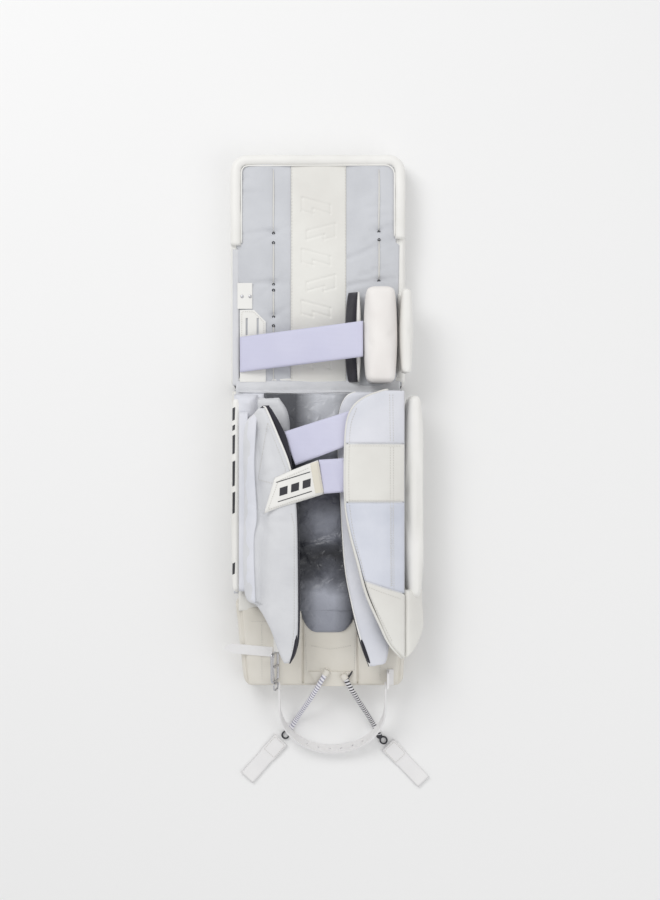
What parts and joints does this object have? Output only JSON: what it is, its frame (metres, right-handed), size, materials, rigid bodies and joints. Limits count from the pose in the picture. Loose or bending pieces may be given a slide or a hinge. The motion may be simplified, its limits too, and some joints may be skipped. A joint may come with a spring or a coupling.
{
  "type": "goalie leg pad",
  "caption": "Ice hockey goalie leg pad lying on its front face: thigh rise, knee cushions and strap, calf wraps with straps over a dark leg channel, boot strap and elastic toe ties.",
  "frame": {"origin": "on the thigh section's front face, under the middle of the knee, where the pad rests on the floor", "axes": "+Z out of the pad's back towards the leg, +Y from the toe towards the thigh, +X across the pad towards the outer side"},
  "size_m": [0.3349, 1.0365, 0.132],
  "materials": {
    "white_leather": "satin",
    "pale_nylon": "matte",
    "lavender_elastic": "matte",
    "charcoal_lining": "matte",
    "dark_satin": "satin",
    "white_lace": "matte",
    "foam": "matte",
    "stiff_sheet": "matte",
    "white_plastic": "satin",
    "black_enamel": "satin",
    "steel": "satin",
    "striped_elastic": "matte",
    "strap_webbing": "satin"
  },
  "bodies": {
    "shin": {"shin_cover": "white_leather", "shin_core": "foam", "shin_stiffener": "stiff_sheet", "shin_back": "pale_nylon", "channel_liner": "dark_satin", "left_side_wall": "white_leather", "right_side_wall": "pale_nylon", "right_side_wing": "white_leather", "ankle_guard": "white_leather", "left_back_panel": "pale_nylon", "knee_break_piping": "white_leather"},
    "thigh": {"thigh_cover": "white_leather", "thigh_core": "foam", "thigh_stiffener": "stiff_sheet", "thigh_panel_left": "pale_nylon", "thigh_panel_center": "white_leather", "thigh_panel_right": "pale_nylon", "thigh_binding": "white_leather", "thigh_lacing": "white_lace", "lace_eyelets": "black_enamel", "strap_slot_tab": "white_leather", "snap_patch": "white_leather", "snaps": "steel", "knee_block": "white_leather", "knee_side_wing": "white_leather"},
    "knee_flap": {"knee_flap": "white_leather", "knee_flap_lining": "charcoal_lining"},
    "knee_strap": {"knee_strap": "lavender_elastic"},
    "left_wrap": {"left_wrap_shell": "pale_nylon", "left_wrap_lining": "charcoal_lining"},
    "calf_tab": {"calf_tab": "white_leather"},
    "right_wrap": {"right_wrap_top_panel": "pale_nylon", "right_wrap_band": "white_leather", "right_wrap_mid_panel": "pale_nylon", "right_wrap_lower_panel": "white_leather", "right_wrap_lining": "charcoal_lining", "upper_calf_strap": "lavender_elastic", "lower_calf_strap": "lavender_elastic"},
    "right_inner_wrap": {"right_inner_wrap": "pale_nylon", "right_inner_wrap_lining": "charcoal_lining"},
    "boot": {"boot_cover": "white_leather", "boot_core": "foam", "boot_stiffener": "stiff_sheet", "boot_back": "pale_nylon", "boot_channel_panel": "white_leather", "boot_left_panel": "white_leather", "boot_right_panel": "white_leather", "toe_tab": "white_leather", "tie_ferrules": "white_plastic", "toe_tie_left": "striped_elastic", "toe_tie_right": "striped_elastic", "tie_rings": "black_enamel", "buckle_frame": "steel", "buckle_tab": "white_leather", "strap_tip": "strap_webbing", "boot_strap_anchor": "strap_webbing"},
    "boot_strap": {"boot_strap": "strap_webbing"},
    "buckle_prong": {"buckle_prong": "steel"},
    "tie_tail_left": {"tie_tail_left": "strap_webbing"},
    "tie_tail_right": {"tie_tail_right": "strap_webbing"}
  },
  "joints": [
    {"name": "thigh_flex", "type": "hinge", "parent": "shin", "child": "thigh", "pos_m": [0, -0.082, 0], "axis": [1, 0, 0], "range_deg": [-10, 4], "stiffness_Nm_per_rad": 40},
    {"name": "boot_flex", "type": "hinge", "parent": "shin", "child": "boot", "pos_m": [0, -0.41918, 0.02358], "axis": [1, 0, 0], "range_deg": [-6, 8], "stiffness_Nm_per_rad": 40},
    {"name": "left_wrap_open", "type": "hinge", "parent": "shin", "child": "left_wrap", "pos_m": [-0.116, -0.3, 0.0975], "axis": [0, -1, 0], "range_deg": [0, 90]},
    {"name": "calf_tab_open", "type": "hinge", "parent": "left_wrap", "child": "calf_tab", "pos_m": [-0.0765, -0.2535, 0.1237], "axis": [-0.2845, -0.9539, -0.0954], "range_deg": [0, 110]},
    {"name": "right_wrap_open", "type": "hinge", "parent": "shin", "child": "right_wrap", "pos_m": [0.136, -0.3, 0.1115], "axis": [0, 1, 0], "range_deg": [0, 90]},
    {"name": "right_inner_wrap_fold", "type": "hinge", "parent": "shin", "child": "right_inner_wrap", "pos_m": [0.114, -0.3, 0.0946], "axis": [0, -1, 0], "range_deg": [-6, 8]},
    {"name": "knee_strap_open", "type": "hinge", "parent": "thigh", "child": "knee_strap", "pos_m": [0.071, -0.003, 0.0988], "axis": [0, 1, 0], "range_deg": [0, 90]},
    {"name": "knee_flap_fold", "type": "hinge", "parent": "thigh", "child": "knee_flap", "pos_m": [0.044, 0.002, 0.051], "axis": [0, -1, 0], "range_deg": [0, 60]},
    {"name": "boot_strap_swing", "type": "hinge", "parent": "boot", "child": "boot_strap", "pos_m": [0.0235, -0.563, 0.07], "axis": [-1, 0, 0], "range_deg": [0, 70]},
    {"name": "buckle_prong_swing", "type": "hinge", "parent": "boot", "child": "buckle_prong", "pos_m": [-0.0693, -0.55581, 0.06922], "axis": [0, -0.1684, 0.9857], "range_deg": [0, 95]},
    {"name": "tie_tail_left_lift", "type": "hinge", "parent": "boot", "child": "tie_tail_left", "pos_m": [-0.06131, -0.66167, 0.0001], "axis": [-0.7431, 0.6691, 0], "range_deg": [0, 110]},
    {"name": "tie_tail_right_lift", "type": "hinge", "parent": "boot", "child": "tie_tail_right", "pos_m": [0.11578, -0.67024, 0.0001], "axis": [-0.7193, -0.6947, 0], "range_deg": [0, 110]}
  ]
}
